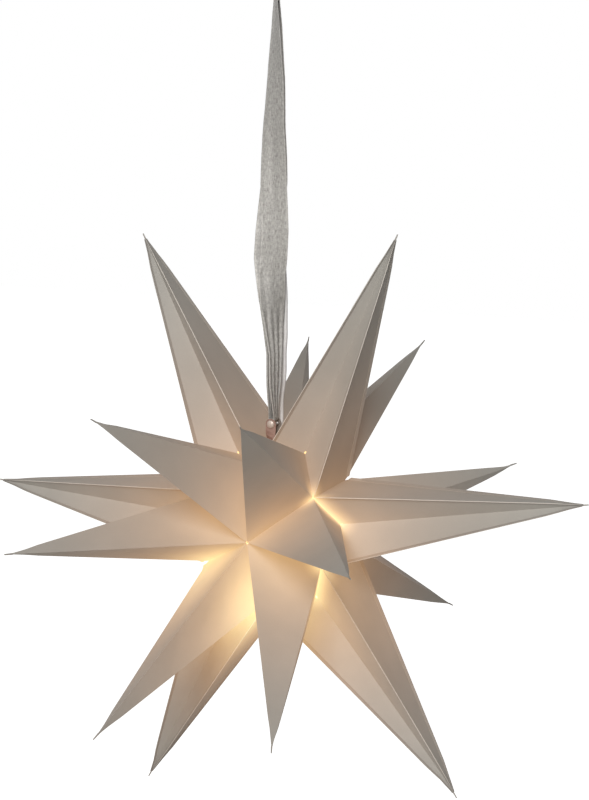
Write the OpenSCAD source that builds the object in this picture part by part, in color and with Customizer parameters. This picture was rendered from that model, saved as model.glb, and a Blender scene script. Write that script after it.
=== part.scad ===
// Hanging paper star lamp: six folded and glued paper segments with three hollow spikes each,
// closed at the top by two tabs, hung on a doubled ribbon, with a lamp on its own cord inside.
// Millimetres, +Z up. The origin is the top of the ribbon's hanging loop, and the star's axis
// runs along Y, with its front towards -Y.

/* [Star] */
// Distance of the middle spikes' tips from the star's axis
tip_reach = 300; // [220:5:420]
// Distance of the front and rear spikes' tips from the star's axis
outer_tip_reach = 159; // [120:1:220]
// Distance of the front and rear spikes' tips from the star's middle plane
outer_tip_depth = 232; // [160:1:320]
// Distance of the front and rear poles from the middle plane
pole_depth = 74; // [66:1:90]
// Distance from the axis of the corners where four spikes meet
corner_reach = 63.5; // [58:0.5:68]
// Distance of those corners from the middle plane
corner_depth = 40; // [34:1:46]
// Distance of the notches between a segment's spikes from the middle plane
notch_depth = 15; // [10:1:22]

/* [Paper] */
// Thickness of the folded paper
paper = 0.4; // [0.3:0.05:0.6]
// How far the solid end of each spike reaches in from its tip
tip_fill = 9; // [6:1:14]
// Width of the glued fins along the middle spikes' ridges
fin_w = 3.6; // [2:0.2:5]
// Width of the glue flanges inside the seams between segments
flange_w = 7; // [4:0.5:9]
// Width of the opening left where the folds meet at a corner
corner_hole_d = 3; // [2:0.5:4]
// Width of the opening left where the folds meet at a notch
notch_hole_d = 1.6; // [1:0.2:2.4]
// Length of the pinched flat end of each spike
beak_len = 8; // [5:0.5:8.5]
// Width of the pinched flat end
beak_w = 2.8; // [2:0.2:3.6]

/* [Closing tabs] */
// Width of a closing tab, and of its round end
tab_w = 10; // [9:0.5:11]
// Thickness of a closing tab
tab_t = 0.5; // [0.4:0.1:0.8]
// Height of the hanger post above the star's centre
post_z = 96; // [92:1:110]
// Sideways place of the hanger post
post_x = -6; // [-8:1:0]
// Distance between the two tabs' inner faces at the post
post_gap = 11.5; // [11:0.5:14]
// Diameter of the post's barrel
barrel_d = 4; // [3:0.2:5]
// Diameter of the post's domed front head
head_d = 7.5; // [6:0.5:9]
// Height of the domed front head
head_h = 2.2; // [1.6:0.2:3]

/* [Ribbon] */
// Height of the hanging loop's top above the star's centre
hang_drop = 655; // [650:5:700]
// Width of the flat ribbon
ribbon_w = 25; // [20:1:26]
// Thickness of the ribbon
ribbon_t = 0.6; // [0.4:0.1:0.8]
// Width of the ribbon where it is gathered at the post, the tie and the knot
gather_w = 10; // [7:1:10.5]
// Width between the hanging loop's sides
loop_d = 32; // [24:1:36]
// Height of the knot under the loop
knot_h = 14; // [10:1:18]
// Diameter of the knot
knot_d = 15; // [12:1:18]

/* [Lamp] */
// Diameter of the lamp holder
holder_d = 28; // [26:1:32]
// Height of the lamp holder's body
holder_h = 34; // [30:1:36]
// Height of the lamp holder's domed top
dome_h = 10; // [8:1:12]
// Height of the cord grip
grip_h = 9; // [7:1:10]
// Diameter of the bulb's screw base
base_d = 13.5; // [13.5:0.1:14]
// Length of the bulb's screw base
base_h = 22; // [20:1:24]
// Diameter of the bulb's globe
globe_d = 45; // [40:1:48]
// Wall of the screw sleeve
sleeve_t = 0.3; // [0.3:0.1:0.6]

/* [Cord] */
// Diameter of the lamp cord
cord_d = 4.5; // [4:0.5:5]
// Diameter of the hole in the top seam that the cord passes through
cord_hole_d = 7; // [6:0.5:8]
// Diameter of the cord coil at the middle of its turns
coil_d = 50; // [46:1:54]
// Thickness of the coil's bundle of turns
coil_bundle = 18.5; // [17:0.5:20]
// Width of the strap that ties the coil to the ribbon
tie_w = 12; // [8:1:16]
// Thickness of the strap
tie_t = 1.2; // [0.8:0.2:2]

/* [Plug] */
// Width of the plug's body
plug_w = 35; // [34:0.5:36]
// Thickness of the plug's body
plug_t = 13.7; // [13:0.1:15]
// Length of the plug's body
plug_h = 36; // [32:1:40]
// Length of the plug's strain relief
relief_h = 18; // [16:1:24]
// Diameter of a plug pin
pin_d = 4; // [4:0.1:4.8]
// Length of a plug pin
pin_h = 19; // [17:0.5:20]
// Distance between the pins
pin_gap = 18.6; // [17:0.1:19]

/* [Hidden] */

// Directions around the star's axis in degrees, 0 to the right and 90 to the top, as the
// glued star opened by hand: each segment's middle plane, and its spikes' turn out of it
segment_dirs = [66.5, 8.5, -54.5, -117.5, -183.5, -243];
front_turns = [-1, 0, -0.5, 0, -0.5, 0.5];
middle_turns = [1, 0.5, 1, 0, 0.5, 0.5];
rear_turns = [1, -0.5, 0, 0, 0, -1];
// How much further out or in each segment's front tip and notches lie than the even star's
front_extra = [-2, 6, 3, 5, 1, -4];
rear_extra = [-5, 0, 1, 0, 0, -6];
notch_reach = [80, 68, 74, 75, 75, 76];
last = len(segment_dirs) - 1;
seam_dir = (segment_dirs[0] + segment_dirs[last] + 360) / 2;

// A place on the star: distance from the axis, direction around it, distance to the front
function spot(reach, dir, depth) = [reach * cos(dir), -depth, reach * sin(dir)];
function unit(v) = v / norm(v);
function high_edge(k) = k == 0 ? seam_dir : (segment_dirs[k - 1] + segment_dirs[k]) / 2;
function low_edge(k) = k == last ? seam_dir - 360 : (segment_dirs[k] + segment_dirs[k + 1]) / 2;

// The two poles, four corners and two notches that a segment's spikes stand on
function base_spots(k) = [
    spot(0, 0, pole_depth),
    spot(0, 0, -pole_depth),
    spot(corner_reach, high_edge(k), corner_depth),
    spot(corner_reach, low_edge(k), corner_depth),
    spot(corner_reach, high_edge(k), -corner_depth),
    spot(corner_reach, low_edge(k), -corner_depth),
    spot(notch_reach[k], segment_dirs[k], notch_depth),
    spot(notch_reach[k], segment_dirs[k], -notch_depth)];

// The front, middle and rear tips
function tips(k) = [
    spot(outer_tip_reach + front_extra[k], segment_dirs[k] + front_turns[k], outer_tip_depth),
    spot(tip_reach, segment_dirs[k] + middle_turns[k], 0),
    spot(outer_tip_reach + rear_extra[k], segment_dirs[k] + rear_turns[k], -outer_tip_depth)];

// Names of the corners in the list of base spots and tips
pole_f = 0;
pole_r = 1;
high_f = 2;
low_f = 3;
high_r = 4;
low_r = 5;
notch_f = 6;
notch_r = 7;
tip_f = 8;
tip_m = 9;
tip_r = 10;
spots_in_skin = 11;

// The paper faces of one segment, clockwise seen from outside
skin_faces = [
    [tip_f, pole_f, high_f], [tip_f, high_f, notch_f], [tip_f, notch_f, low_f], [tip_f, low_f, pole_f],
    [tip_m, notch_f, high_f], [tip_m, high_f, high_r], [tip_m, high_r, notch_r],
    [tip_m, notch_r, low_r], [tip_m, low_r, low_f], [tip_m, low_f, notch_f],
    [tip_r, notch_r, high_r], [tip_r, high_r, pole_r], [tip_r, pole_r, low_r], [tip_r, low_r, notch_r]];
// The open edge of a segment, all the way round
rim = [pole_f, high_f, high_r, pole_r, low_r, low_f];

// How far the folds' end lies inside the pinched tip, and where the fins stop before it
tip_inset = 1;
fin_stop = 6;
// Turn of the eight-sided corner cuts, so that none of their edges lies in a seam
cut_turn = 12;
// How far the tab slots cut into the flanges, and the corner cuts reach past them
slot_cut = 0.1;
cut_past = 2;

// The skin's inside is the outside drawn in towards the star's centre. The share is set by the
// faces at the poles, so that the paper has its thickness there.
function pole_face_distance(k) =
    let (b = base_spots(k), t = tips(k), n = unit(cross(t[0] - b[pole_f], b[high_f] - b[pole_f])))
    abs(n * b[pole_f]);
function draw_in(k) = 1 - paper / pole_face_distance(k);

// The hanging loop's straight legs, the half width where they enter the knot, and the knot
loop_leg = 30;
loop_end_r = 2;
knot_z = hang_drop - loop_d / 2 - loop_leg - knot_h / 2;

// Ribbon and cord heights are from the star's centre. The ribbon's two runs lie back to back:
// height, sideways place, direction of the width, width, half gap and half sideways spread
ribbon_rings = [
    [post_z, post_x, 90, gather_w, barrel_d / 2 + 0.6, 0],
    [106, -6, 86, gather_w, 2.4, 0],
    [120, -6, 76, 13, 2, 0],
    [133, -5.5, 68, 16, 1.6, 0],
    [162, -5, 68, 18, 1.3, 0],
    [185, -6, 62, 22, 1.2, 0],
    [205, -7, 53, ribbon_w, 1.1, 0],
    [233, -8.5, 33, ribbon_w, 1, 1.2],
    [250, -8.5, 25, ribbon_w, 1, 2.8],
    [275, -7, 20, ribbon_w, 1, 2.6],
    [319, -5, 6, ribbon_w, 1, 0],
    [370, -4.5, -17, ribbon_w, 1, 0],
    [414, -2.5, -32, ribbon_w, 1, 0],
    [457, -2, -49, ribbon_w, 1, 0],
    [482, -2, -58, ribbon_w, 1, 0],
    [520, -1, -70, 22, 1, 0],
    [552, 0, -84, 14, 1, 0],
    [578, 0, -90, gather_w, 1, 0],
    [knot_z - 2, 0, -90, gather_w, 1, 0]];

// The cord's route from the top of its grip to its coil, heights from the star's centre
cord_route = [
    [-1, 10, 53], [-1.5, 10, 58], [-2, 10, 64], [-2, 11, 72], [-3, 12, 80], [-4, 13, 90],
    [-4, 14, 100], [-4, 14, 115], [-2, 14, 131], [-1, 14, 145], [-1, 14, 160], [0, 14, 175],
    [0, 14, 190], [0, 14, 215], [-2, 14, 250], [-3, 14, 285], [-4, 14, 320], [-5, 14, 345],
    [-6, 14, 370], [-7, 14, 414], [-8, 14, 435], [-8, 14, 457], [-8, 14, 482], [-8, 14, 510],
    [-8, 12.6, 540], [-7.4, 10.4, 565.5]];
cord_steps = 2;
cord_sides = 8;
coil_at = [coil_d / 2, 17, 582];
// How far the cord hangs from the coil's middle to the plug's body
plug_drop = 36;
lamp_at = [-1, 10, 0];
fit_gap = 0.3;
globe_z = -28;

holder_in_d = base_d + 2 * fit_gap + 2 * sleeve_t;
// The centre contact, the sleeve round the bulb's base and the holder's roof over them
contact_t = 0.8;
contact_d = 6;
contact_z = 1 + base_h + contact_t;
sleeve_z = 5;
sleeve_h = 15;
roof_t = 1.6;
holder_wall = 2;
// The holder's rim and the neck of its domed top
rim_h = 3;
rim_out = 0.8;
neck_r = 6;
dome_wall = 2.5;
grip_z = holder_h + dome_h;
plug_at = coil_at + [(coil_d + coil_bundle - cord_d) / 2, (coil_bundle - cord_d) / 2, -plug_drop];
paper_colour = [0.72, 0.68, 0.63];

// All pieces are placed from the star's centre, which hangs below the origin
module from_star() {
    translate([0, 0, -hang_drop]) children();
}

// Directions into the segment, square to its high and its low seam and between the two
function into(k, spot_name) =
    let (high = high_edge(k), low = low_edge(k), half = (high - low) / 2)
    spot_name == high_f || spot_name == high_r ? [sin(high), 0, -cos(high)]
    : spot_name == low_f || spot_name == low_r ? [-sin(low), 0, cos(low)]
    : [cos(high - half), 0, sin(high - half)] / sin(half);

// One segment's paper in one closed shell: the outside, the seam faces, the flanges' edges and
// inner sides, and the inside
module segment_skin(k) {
    base = base_spots(k);
    outer = concat(base, [for (t = tips(k)) t - unit(t) * tip_inset]);
    drawn = concat(base * draw_in(k), [for (t = tips(k)) t - unit(t) * tip_fill]);
    inner = [for (i = [0 : spots_in_skin - 1]) i <= low_r ? drawn[i] + into(k, i) * paper : drawn[i]];
    flange_end = [for (i = [0 : low_r]) base[i] * (1 - flange_w / corner_reach)];
    flange_in = [for (i = [0 : low_r]) flange_end[i] + into(k, i) * paper];
    ends = 2 * spots_in_skin;
    ins = ends + len(rim);
    seam_quads = [for (i = [0 : len(rim) - 1])
        let (a = rim[i], b = rim[(i + 1) % len(rim)])
        for (q = [[b, a, ends + a, ends + b],
                  [ends + b, ends + a, ins + a, ins + b],
                  [ins + b, ins + a, spots_in_skin + a, spots_in_skin + b]]) q];
    polyhedron(
        points = concat(outer, inner, flange_end, flange_in),
        faces = concat(
            skin_faces,
            [for (f = skin_faces) [for (i = [2, 1, 0]) f[i] + spots_in_skin]],
            [for (q = seam_quads) for (half = [[q[0], q[1], q[2]], [q[0], q[2], q[3]]]) half]));
}

// A flat strip beside the line from a to b: its width goes from wide_a to wide_b along out
module paper_strip(a, b, out, wide_a, wide_b, root, thick) {
    flat = unit(cross(b - a, out));
    corners = [a - out * root, b - out * root, b + out * wide_b, a + out * wide_a];
    polyhedron(
        points = concat([for (c = corners) c - flat * thick / 2], [for (c = corners) c + flat * thick / 2]),
        faces = [[0, 1, 2, 3], [7, 6, 5, 4], [0, 4, 5, 1], [1, 5, 6, 2], [2, 6, 7, 3], [3, 7, 4, 0]]);
}

// Glued fins stand on the four ridges of the middle spike
module fins(k) {
    b = concat(base_spots(k), tips(k));
    tip = b[tip_m];
    for (pair = [[high_f, notch_f, high_r], [high_r, high_f, notch_r],
                 [low_f, low_r, notch_f], [low_r, notch_r, low_f]]) {
        foot = b[pair[0]];
        inward = unit(cross(b[pair[1]] - tip, foot - tip)) + unit(cross(foot - tip, b[pair[2]] - tip));
        along = unit(tip - foot);
        paper_strip(foot + along * corner_hole_d, tip - along * fin_stop, -unit(inward),
            fin_w, beak_w / 2, paper, 2 * paper);
    }
}

// Each spike ends in a pinched flat strip
module beaks(k) {
    for (t = tips(k)) {
        back = t - unit(t) * beak_len;
        side = unit(cross(unit(t), [0, 1, 0]));
        paper_strip(back, t, side, beak_w / 2, beak_w / 3, beak_w / 2, 2 * paper);
    }
}

// The shapes below lie in the plane of one direction around the star
module at_dir(dir) {
    rotate([0, -dir, 0]) children();
}

// A short round cut through the paper at a corner, along the line from the star's centre
module corner_cut(reach, dir, depth, d) {
    at_dir(dir) translate([reach, -depth, 0]) rotate([0, 90, atan2(-depth, reach)])
        rotate([0, 0, cut_turn]) cylinder(h = 2 * (flange_w + cut_past), d = d, center = true, $fn = 8);
}

module corner_cuts(k) {
    for (side = [-1, 1]) {
        corner_cut(0, 0, side * pole_depth, corner_hole_d);
        corner_cut(corner_reach, high_edge(k), side * corner_depth, corner_hole_d);
        corner_cut(corner_reach, low_edge(k), side * corner_depth, corner_hole_d);
        corner_cut(notch_reach[k], segment_dirs[k], side * notch_depth, notch_hole_d);
    }
}

// The top seam leaves a slot beside each flange for its tab, and a hole for the cord
module tab_slot(k) {
    turn = k == 0 ? 1 : -1;
    slot_t = tab_t + 2 * fit_gap;
    at_dir(seam_dir) translate([corner_reach, 0, -turn * (paper - slot_cut + slot_t / 2)])
        cube([4 * flange_w, tab_w + 2 * fit_gap, slot_t], center = true);
}

module cord_hole() {
    translate([cord_route[2][0], cord_route[2][1], corner_reach])
        cylinder(h = 3 * flange_w, d = cord_hole_d, center = true, $fn = 24);
}

module segment(k) {
    color(paper_colour) from_star() difference() {
        union() {
            segment_skin(k);
            fins(k);
            beaks(k);
        }
        corner_cuts(k);
        if (k == 0 || k == last) tab_slot(k);
        if (k == 0 || k == last) cord_hole();
    }
}

// A closing tab starts flat against its seam flange, and twists by a quarter turn on the way
// up to the post, where it faces the front or the rear
tab_foot_z = corner_reach - flange_w + 1;
tab_free_z = corner_reach + 2;
tab_flat_z = post_z - tab_w / 2;
tab_heights = [tab_foot_z, tab_free_z, 70, 74, 78, 82, 86, tab_flat_z, post_z];
function ease(z) =
    let (f = max(0, min(1, (z - tab_free_z) / (tab_flat_z - tab_free_z))))
    f * f * (3 - 2 * f);
function mix(a, b, f) = a + (b - a) * f;
function tab_ring(z, side) =
    let (
        f = ease(z),
        turn = 90 * f,
        out = side * [cos(turn), sin(turn), 0],
        across = [-sin(turn), cos(turn), 0],
        off = mix(paper + tab_t / 2, post_gap / 2 + tab_t / 2, f),
        c = [mix(z / tan(seam_dir), post_x, f), 0, z] + out * off)
    [for (s = [[-1, -1], [1, -1], [1, 1], [-1, 1]])
        c + across * s[0] * tab_w / 2 + out * s[1] * tab_t / 2];

// Closes rings of four corners into one strip. Both broad sides are split along the same
// diagonal, so that a twisted strip keeps its thickness.
function strip_faces(n) = concat(
    [for (i = [0 : n - 2]) for (j = [0 : 3])
        let (a = 4 * i + j, b = 4 * i + (j + 1) % 4)
        for (half = j == 2 ? [[a, b, a + 4], [b, b + 4, a + 4]] : [[a, b, b + 4], [a, b + 4, a + 4]])
        half],
    [[3, 2, 1, 0]], [[for (j = [0 : 3]) 4 * (n - 1) + j]]);
function reversed_faces(faces) = [for (f = faces) [for (i = [len(f) - 1 : -1 : 0]) f[i]]];

module strip(rings, flip = false) {
    n = len(rings);
    faces = strip_faces(n);
    polyhedron(points = [for (r = rings) for (p = r) p], faces = flip ? reversed_faces(faces) : faces);
}

module tab(side, tint) {
    color(tint) from_star() difference() {
        union() {
            strip([for (z = tab_heights) tab_ring(z, side)], side < 0);
            translate([post_x, side * (post_gap / 2 + tab_t / 2), post_z]) rotate([90, 0, 0])
                cylinder(h = tab_t, d = tab_w, center = true, $fn = 48);
        }
        translate([post_x, 0, post_z]) rotate([90, 0, 0])
            cylinder(h = 2 * post_gap, d = barrel_d + fit_gap, center = true, $fn = 32);
    }
}

// The post is a barrel with a domed head in front, closed by a screw from the rear
barrel_len = post_gap + 2 * tab_t;
barrel_end = 1.5;
head_edge = 0.5;
screw_d = barrel_d / 2;
screw_len = 8;
screw_head_h = 1.2;
module hanger_barrel() {
    color([0.8, 0.74, 0.69]) from_star() translate([post_x, -barrel_len / 2, post_z])
        rotate([-90, 0, 0]) difference() {
            union() {
                cylinder(h = barrel_len, d = barrel_d, $fn = 32);
                rotate_extrude($fn = 48) polygon(concat(
                    [[0, 0]],
                    [for (a = [0 : 15 : 90])
                        [head_d / 2 * cos(a), -head_edge - (head_h - head_edge) * sin(a)]],
                    [[0, 0]]));
                translate([0, 0, -head_edge]) cylinder(h = head_edge, d = head_d, $fn = 48);
            }
            translate([0, 0, barrel_end]) cylinder(h = barrel_len, d = screw_d, $fn = 24);
        }
}

module hanger_screw() {
    color([0.7, 0.68, 0.65]) from_star() translate([post_x, barrel_len / 2, post_z])
        rotate([-90, 0, 0]) {
            cylinder(h = screw_head_h, d = head_d - head_edge, $fn = 48);
            translate([0, 0, -screw_len]) cylinder(h = screw_len, d = screw_d, $fn = 24);
        }
}

function ribbon_ring(r, side) =
    let (
        across = [cos(r[2]), sin(r[2]), 0],
        out = [sin(r[2]), -cos(r[2]), 0],
        c = [r[1], 0, r[0]] + side * (out * r[4] + across * r[5]))
    [for (s = [[-1, -1], [1, -1], [1, 1], [-1, 1]])
        c + across * s[0] * r[3] / 2 + out * s[1] * ribbon_t / 2];

module ribbon_run(side) {
    strip([for (r = ribbon_rings) ribbon_ring(r, side)]);
}

// The fold under the post, seen from the front
module ribbon_bight() {
    r = ribbon_rings[0][4];
    translate([post_x, 0, post_z]) rotate([90, 0, 0]) difference() {
        cylinder(h = gather_w, r = r + ribbon_t / 2, center = true, $fn = 48);
        cylinder(h = 2 * gather_w, r = r - ribbon_t / 2, center = true, $fn = 48);
        translate([0, r, 0]) cube([4 * r, 2 * r, 2 * gather_w], center = true);
    }
}

// The hanging loop's outline, drawn in by the wall: a wide arc, two straight legs and the end
// of the legs in the knot
module loop_outline(wall) {
    arc_r = loop_d / 2 - wall;
    end_r = loop_end_r - wall;
    lean = asin((loop_d / 2 - loop_end_r) / loop_leg);
    polygon(concat(
        [for (i = [0 : 16]) let (a = -lean + (180 + 2 * lean) * i / 16)
            [arc_r * cos(a), hang_drop - loop_d / 2 + arc_r * sin(a)]],
        [for (a = [180 + lean, 270, 360 - lean])
            [end_r * cos(a), hang_drop - loop_d / 2 - loop_leg + end_r * sin(a)]]));
}

module hanging_loop() {
    rotate([90, 0, 0]) translate([0, 0, -gather_w / 2]) linear_extrude(gather_w) difference() {
        loop_outline(0);
        loop_outline(ribbon_t);
    }
}

module knot() {
    translate([0, 0, knot_z]) {
        rotate_extrude($fn = 32) polygon(concat(
            [[0, -knot_h / 2]],
            [for (a = [-60 : 30 : 60]) [knot_d / 2 * cos(a), knot_h / 2 * sin(a)]],
            [[0, knot_h / 2]]));
        rotate([28, 0, 0]) rotate_extrude($fn = 32)
            translate([knot_d / 2 - 2, 0]) circle(d = 5, $fn = 16);
    }
}

module ribbon() {
    color([0.62, 0.62, 0.6]) from_star() {
        ribbon_run(-1);
        ribbon_run(1);
        ribbon_bight();
        knot();
        hanging_loop();
    }
}

// Each lamp piece is placed from the bottom of the holder's body
module from_lamp() {
    from_star() translate(lamp_at) children();
}

module cord_grip() {
    color("white") from_lamp() translate([0, 0, grip_z]) difference() {
        cylinder(h = grip_h, d1 = 12, d2 = 9, $fn = 48);
        translate([0, 0, -1]) cylinder(h = grip_h + 2, d = cord_d, $fn = 32);
    }
}

module holder_top() {
    color("white") from_lamp() translate([0, 0, holder_h]) difference() {
        rotate_extrude($fn = 64) polygon(concat(
            [[0, 0], [holder_d / 2, 0]],
            [for (a = [10 : 16 : 74]) [neck_r + (holder_d / 2 - neck_r) * cos(a), dome_h * sin(a)]],
            [[neck_r, dome_h], [0, dome_h]]));
        rotate_extrude($fn = 64) polygon([
            [0, -1], [holder_d / 2 - holder_wall, -1],
            [neck_r, dome_h - dome_wall], [0, dome_h - dome_wall]]);
        cylinder(h = 2 * dome_h, d = cord_d, $fn = 32);
    }
}

module holder_body() {
    color("white") from_lamp() difference() {
        union() {
            cylinder(h = holder_h, d = holder_d, $fn = 64);
            translate([0, 0, holder_h - rim_h - 1])
                cylinder(h = rim_h, d = holder_d + 2 * rim_out, $fn = 64);
        }
        translate([0, 0, -1]) cylinder(h = contact_z + 1, d = holder_in_d, $fn = 64);
        translate([0, 0, contact_z + roof_t])
            cylinder(h = holder_h, d = holder_d - 2 * holder_wall, $fn = 64);
    }
}

module screw_sleeve() {
    color("gold") from_lamp() translate([0, 0, sleeve_z]) difference() {
        cylinder(h = sleeve_h, d = holder_in_d, $fn = 64);
        translate([0, 0, -1]) cylinder(h = sleeve_h + 2, d = holder_in_d - 2 * sleeve_t, $fn = 64);
    }
}

module centre_contact() {
    color("gold") from_lamp() translate([0, 0, contact_z - contact_t]) {
        cylinder(h = contact_t, d = contact_d, $fn = 32);
    }
}

// The sealed bulb, with its screw base in the holder
module bulb() {
    neck_top = -0.5;
    color([1, 0.95, 0.85]) from_lamp() {
        rotate_extrude($fn = 64) polygon(concat(
            [[0, globe_z - globe_d / 2]],
            [for (a = [-82 : 8 : 62]) [globe_d / 2 * cos(a), globe_z + globe_d / 2 * sin(a)]],
            [[base_d / 2 - 1, neck_top], [base_d / 2 - 1, 1], [0, 1]]));
        translate([0, 0, 1]) cylinder(h = base_h - 3, d = base_d, $fn = 48);
        translate([0, 0, base_h - 2])
            cylinder(h = 3 - contact_t, d1 = base_d - 1, d2 = contact_d, $fn = 48);
    }
}

// Points between the route's own, on a smooth curve through them
function at_point(p, i) = p[max(0, min(len(p) - 1, i))];
function smooth_point(p, i, f) =
    let (a = at_point(p, i - 1), b = at_point(p, i), c = at_point(p, i + 1), d = at_point(p, i + 2))
    0.5 * (2 * b + (c - a) * f + (2 * a - 5 * b + 4 * c - d) * f * f + (3 * b - a - 3 * c + d) * f * f * f);
function smooth_route(p, n) = concat(
    [for (i = [0 : len(p) - 2]) for (s = [0 : n - 1]) smooth_point(p, i, s / n)],
    [p[len(p) - 1]]);

module tube(path, d, sides) {
    n = len(path);
    rings = [for (i = [0 : n - 1])
        let (
            ahead = unit(at_point(path, i + 1) - at_point(path, i - 1)),
            side = unit(cross(ahead, [0, 1, 0])),
            up = cross(side, ahead))
        [for (j = [0 : sides - 1]) let (a = 360 * j / sides)
            path[i] + (side * cos(a) + up * sin(a)) * d / 2]];
    polyhedron(
        points = [for (r = rings) for (p = r) p],
        faces = concat(
            [for (i = [0 : n - 2]) for (j = [0 : sides - 1])
                let (a = i * sides + j, b = i * sides + (j + 1) % sides)
                [a, b, b + sides, a + sides]],
            [[for (j = [sides - 1 : -1 : 0]) j]],
            [[for (j = [0 : sides - 1]) (n - 1) * sides + j]]));
}

module lamp_cord() {
    color("white") from_star() tube(smooth_route(cord_route, cord_steps), cord_d, cord_sides);
}

// The unseen rest of the cord, wound into one round coil behind the ribbon, and its end that
// hangs down to the plug
module cord_coil() {
    tail_z = plug_at[2] + relief_h;
    color("white") from_star() {
        translate(coil_at) rotate([90, 0, 0]) rotate_extrude($fn = 72)
            translate([coil_d / 2, 0]) square(coil_bundle, center = true);
        translate([plug_at[0], plug_at[1], tail_z])
            cylinder(h = coil_at[2] - tail_z, d = cord_d, $fn = 24);
    }
}

// The strap goes round the ribbon and the near side of the coil. The coil's inner side curves
// away over the strap's width, so the strap is wider there.
module cord_tie() {
    deep = coil_at[1] + coil_bundle / 2 + fit_gap;
    front = gather_w / 2 + fit_gap;
    coil_in_r = (coil_d - coil_bundle) / 2;
    curve = coil_in_r - sqrt(coil_in_r * coil_in_r - tie_w * tie_w / 4);
    wide = coil_bundle + curve + 2 * fit_gap;
    color([0.85, 0.85, 0.85]) from_star() translate([curve / 2, (deep - front) / 2, coil_at[2] - tie_w / 2])
        linear_extrude(tie_w) difference() {
            square([wide + 2 * tie_t, deep + front + 2 * tie_t], center = true);
            square([wide, deep + front], center = true);
        }
}

module plug_body() {
    neck_w = 12;
    wide_share = 0.62;
    neck_slope = [2, -3];
    color("white") from_star() translate(plug_at) rotate([0, 0, 90]) {
        rotate([90, 0, 0]) linear_extrude(plug_t, center = true) polygon([
            [-plug_w / 2, -plug_h], [plug_w / 2, -plug_h], [plug_w / 2, -plug_h * wide_share],
            [neck_w / 2 + neck_slope[0], neck_slope[1]], [neck_w / 2, 0],
            [-neck_w / 2, 0], [-neck_w / 2 - neck_slope[0], neck_slope[1]],
            [-plug_w / 2, -plug_h * wide_share]]);
        cylinder(h = relief_h, d1 = neck_w - 2, d2 = cord_d + 1, $fn = 32);
    }
}

module plug_pins() {
    pin_nose = 1.5;
    color("silver") from_star() translate(plug_at - [0, 0, plug_h + pin_h]) for (side = [-1, 1])
        translate([0, side * pin_gap / 2, 0]) {
            translate([0, 0, pin_nose]) cylinder(h = pin_h - pin_nose, d = pin_d, $fn = 32);
            rotate_extrude($fn = 32)
                polygon([[0, 0], [pin_d / 2 - 1, 0], [pin_d / 2, pin_nose], [0, pin_nose]]);
        }
}

segment(0);  // segment_1
segment(1);  // segment_2
segment(2);  // segment_3
segment(3);  // segment_4
segment(4);  // segment_5
segment(5);  // segment_6
tab(-1, [0.6, 0.5, 0.46]);  // front_tab
tab(1, [0.45, 0.4, 0.37]);  // rear_tab
hanger_barrel();
hanger_screw();
ribbon();
cord_grip();
holder_top();
holder_body();
screw_sleeve();
centre_contact();
bulb();
lamp_cord();
cord_coil();
cord_tie();
plug_body();
plug_pins();
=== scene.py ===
# %% [markdown]
# # A folded paper star on a ribbon
# The star is made of six folded card segments, with three hollow spikes each. It hangs on a
# doubled sheer ribbon, and a lamp on its own cord shines inside it. The solid model is loaded
# first, because every piece below is placed from it.

# %% The solid model
import math
import bmesh
import bpy
import numpy as np
from mathutils import Euler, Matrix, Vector, noise


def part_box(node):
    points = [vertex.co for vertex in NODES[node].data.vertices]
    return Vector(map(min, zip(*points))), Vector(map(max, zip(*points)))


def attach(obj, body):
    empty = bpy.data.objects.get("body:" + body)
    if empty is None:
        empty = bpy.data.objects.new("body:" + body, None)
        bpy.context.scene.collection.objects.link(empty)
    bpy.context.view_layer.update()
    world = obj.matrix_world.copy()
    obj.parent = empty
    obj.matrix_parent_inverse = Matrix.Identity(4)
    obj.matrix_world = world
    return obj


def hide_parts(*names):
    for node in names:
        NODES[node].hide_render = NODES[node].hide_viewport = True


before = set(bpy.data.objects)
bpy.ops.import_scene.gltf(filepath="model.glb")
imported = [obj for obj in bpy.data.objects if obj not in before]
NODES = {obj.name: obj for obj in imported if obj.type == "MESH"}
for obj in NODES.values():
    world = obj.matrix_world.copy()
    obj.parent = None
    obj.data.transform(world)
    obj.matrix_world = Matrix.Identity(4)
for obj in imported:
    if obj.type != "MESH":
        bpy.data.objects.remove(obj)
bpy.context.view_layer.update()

MM = 0.001
CENTRE = Vector((0, 0, -0.655))

# %% [markdown]
# ## The camera
# The photograph looks a little down on the star from its front right. The tips and the corners
# of the folds were matched to it, which gave the distance, the two angles and the lens. The
# camera is made first, so that every later piece is judged through it.

# %% Camera
azimuth, elevation = math.radians(22.959), math.radians(11.076)
aim_right, aim_up, distance_back = 0.014, 0.116, 2.1
to_right = Vector((math.cos(azimuth), math.sin(azimuth), 0))
to_camera = Vector((math.sin(azimuth) * math.cos(elevation), -math.cos(azimuth) * math.cos(elevation),
                    math.sin(elevation)))
upward = to_camera.cross(to_right)
camera_data = bpy.data.cameras.new("camera")
camera_data.lens = 101.25
camera_data.sensor_width = 36
camera = bpy.data.objects.new("camera", camera_data)
camera.location = CENTRE + aim_right * to_right + aim_up * upward + distance_back * to_camera
camera.rotation_euler = Euler((math.pi / 2 - elevation, 0, azimuth))
bpy.context.scene.collection.objects.link(camera)
bpy.context.scene.camera = camera
print("camera at", [round(v, 3) for v in camera.location])


# %% [markdown]
# ## The lamp cord
# The real cord is a 2.5 m lead. It comes straight up out of the lamp holder, leaves the star
# through the top seam and runs up behind the ribbon. Above the photograph it is put away in one
# round coil with its plug below. A curve with a round bevel is the natural way to model a cord,
# because its length can be measured. The coil is wound as four flat spirals, outwards and
# inwards in turn, so that its turns lie side by side and both of its ends are on the outside.

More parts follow.
